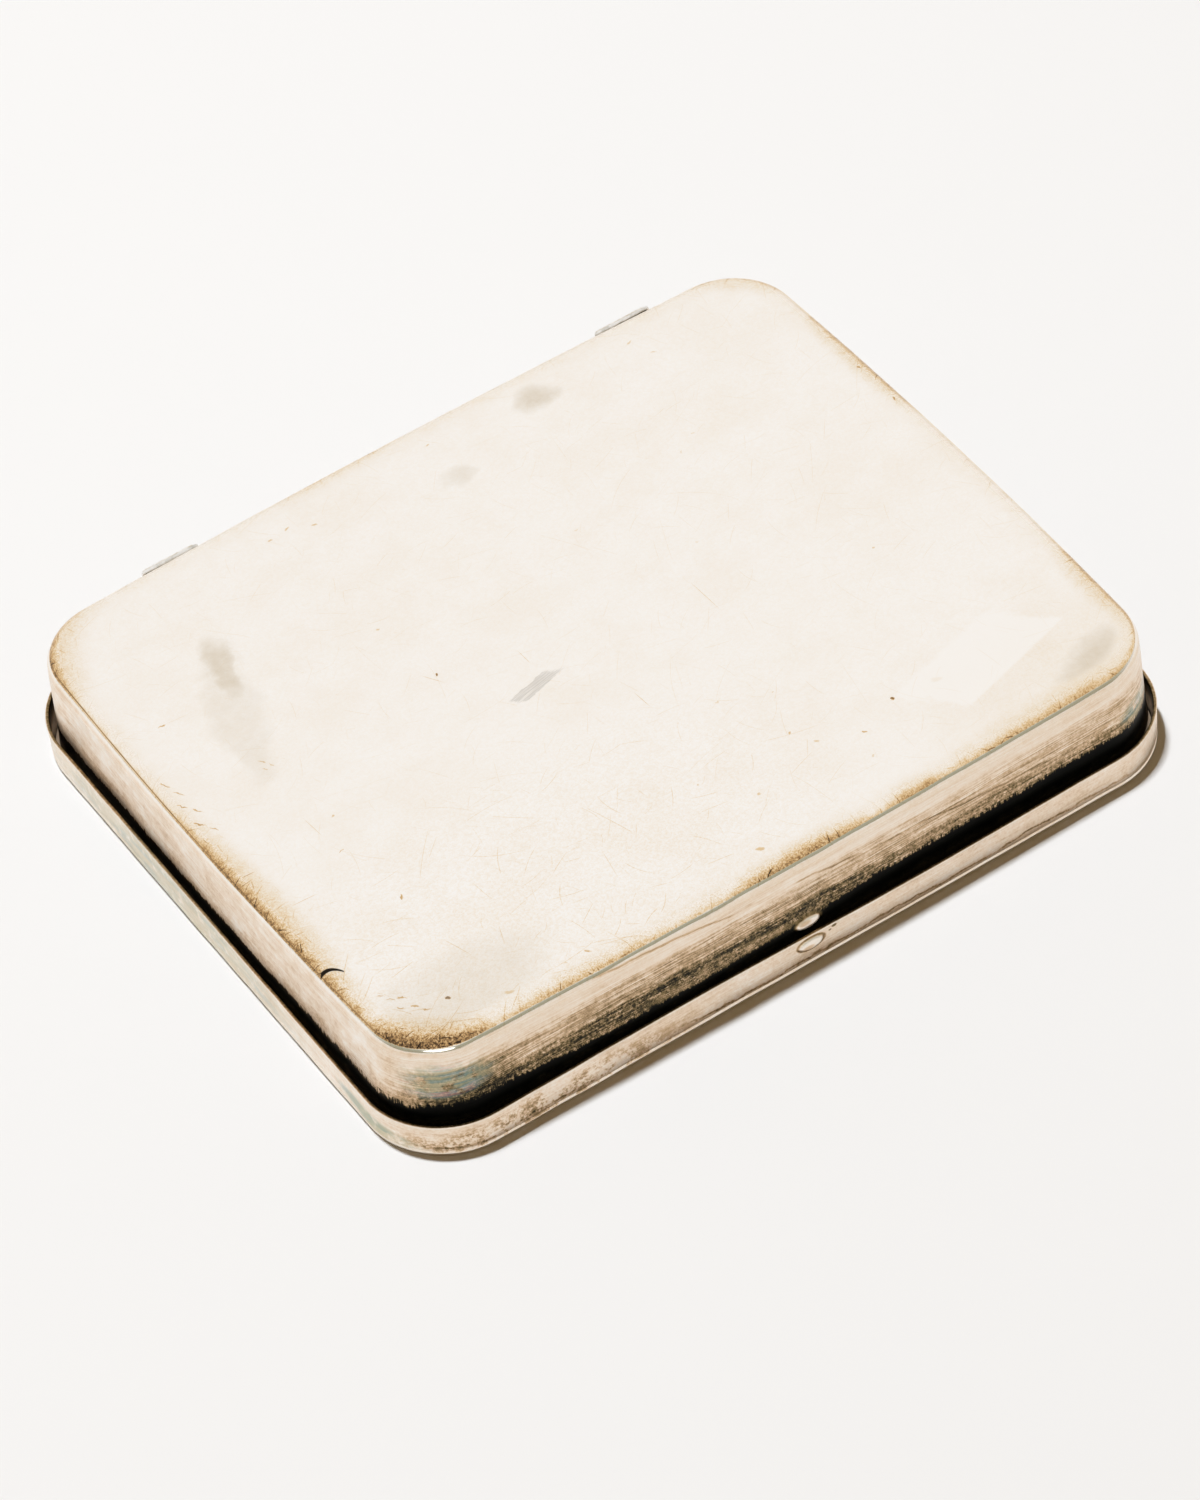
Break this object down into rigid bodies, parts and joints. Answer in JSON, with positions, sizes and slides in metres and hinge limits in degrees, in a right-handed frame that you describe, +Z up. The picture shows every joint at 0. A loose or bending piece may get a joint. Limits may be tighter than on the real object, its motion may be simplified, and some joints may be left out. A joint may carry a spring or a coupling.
{
  "type": "hinged silver box",
  "caption": "Flat hinged silver-plated box: a deep drawn base pan in a shallow lid pan, soldered back hinges and an oval snap catch, lying on its lid and slightly ajar.",
  "frame": {"origin": "middle of the lid's panel, on the surface that the box lies on", "axes": "+X along the long sides, +Y from the catch towards the hinges, +Z up"},
  "size_m": [0.11, 0.0944, 0.0174],
  "materials": {
    "lid_silver": "silver plate on brass, tarnished pinkish beige",
    "base_silver": "silver plate on brass, worn cream white with brown tarnish at the edges",
    "leaf_silver": "dull silver plate on brass",
    "pin_steel": "bare wire, peened ends"
  },
  "bodies": {
    "lid": {"lid_pan": "lid_silver", "left_lid_leaf": "leaf_silver", "right_lid_leaf": "leaf_silver", "left_hinge_pin": "pin_steel", "right_hinge_pin": "pin_steel"},
    "base": {"base_pan": "base_silver", "left_base_leaf": "leaf_silver", "right_base_leaf": "leaf_silver"}
  },
  "joints": [
    {"name": "back_hinge", "type": "hinge", "parent": "lid", "child": "base", "pos_m": [0, 0.04713, 0.0052], "axis": [-1, 0, 0], "range_deg": [-1.2, 128]}
  ]
}
